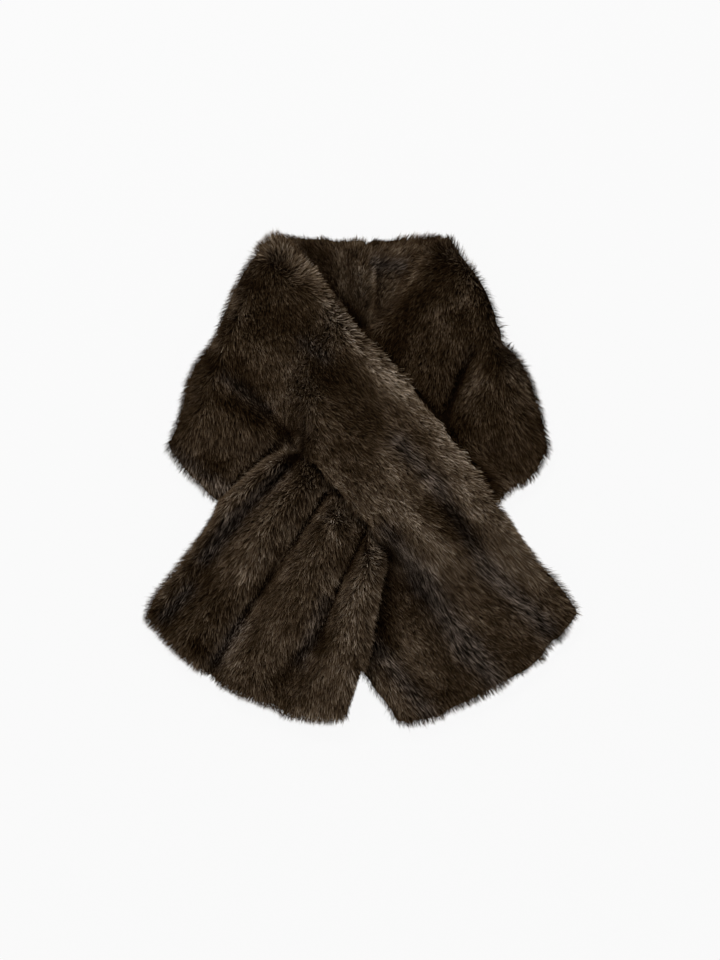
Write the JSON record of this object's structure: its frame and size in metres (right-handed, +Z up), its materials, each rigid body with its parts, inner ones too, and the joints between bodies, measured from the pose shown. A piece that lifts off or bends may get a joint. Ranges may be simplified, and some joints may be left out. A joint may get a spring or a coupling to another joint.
{
  "type": "fur collar wrap",
  "caption": "Pull-through fur collar wrap lying flat, folded at the shoulders, its fronts crossed and one pulled through a slit in the other.",
  "frame": {"origin": "middle of the bounding box, on the surface that the wrap lies on", "axes": "+Y towards the neck edge of the back, +Z up from the surface, +X to the viewer's right looking down with the neck edge at the top"},
  "size_m": [0.474, 0.5422, 0.0704],
  "materials": {
    "fur": "long-pile dark brown faux fur"
  },
  "bodies": {
    "root": {"back_left": "fur", "back_right": "fur", "front_over": "fur", "front_under": "fur", "front_tail": "fur"}
  },
  "joints": []
}
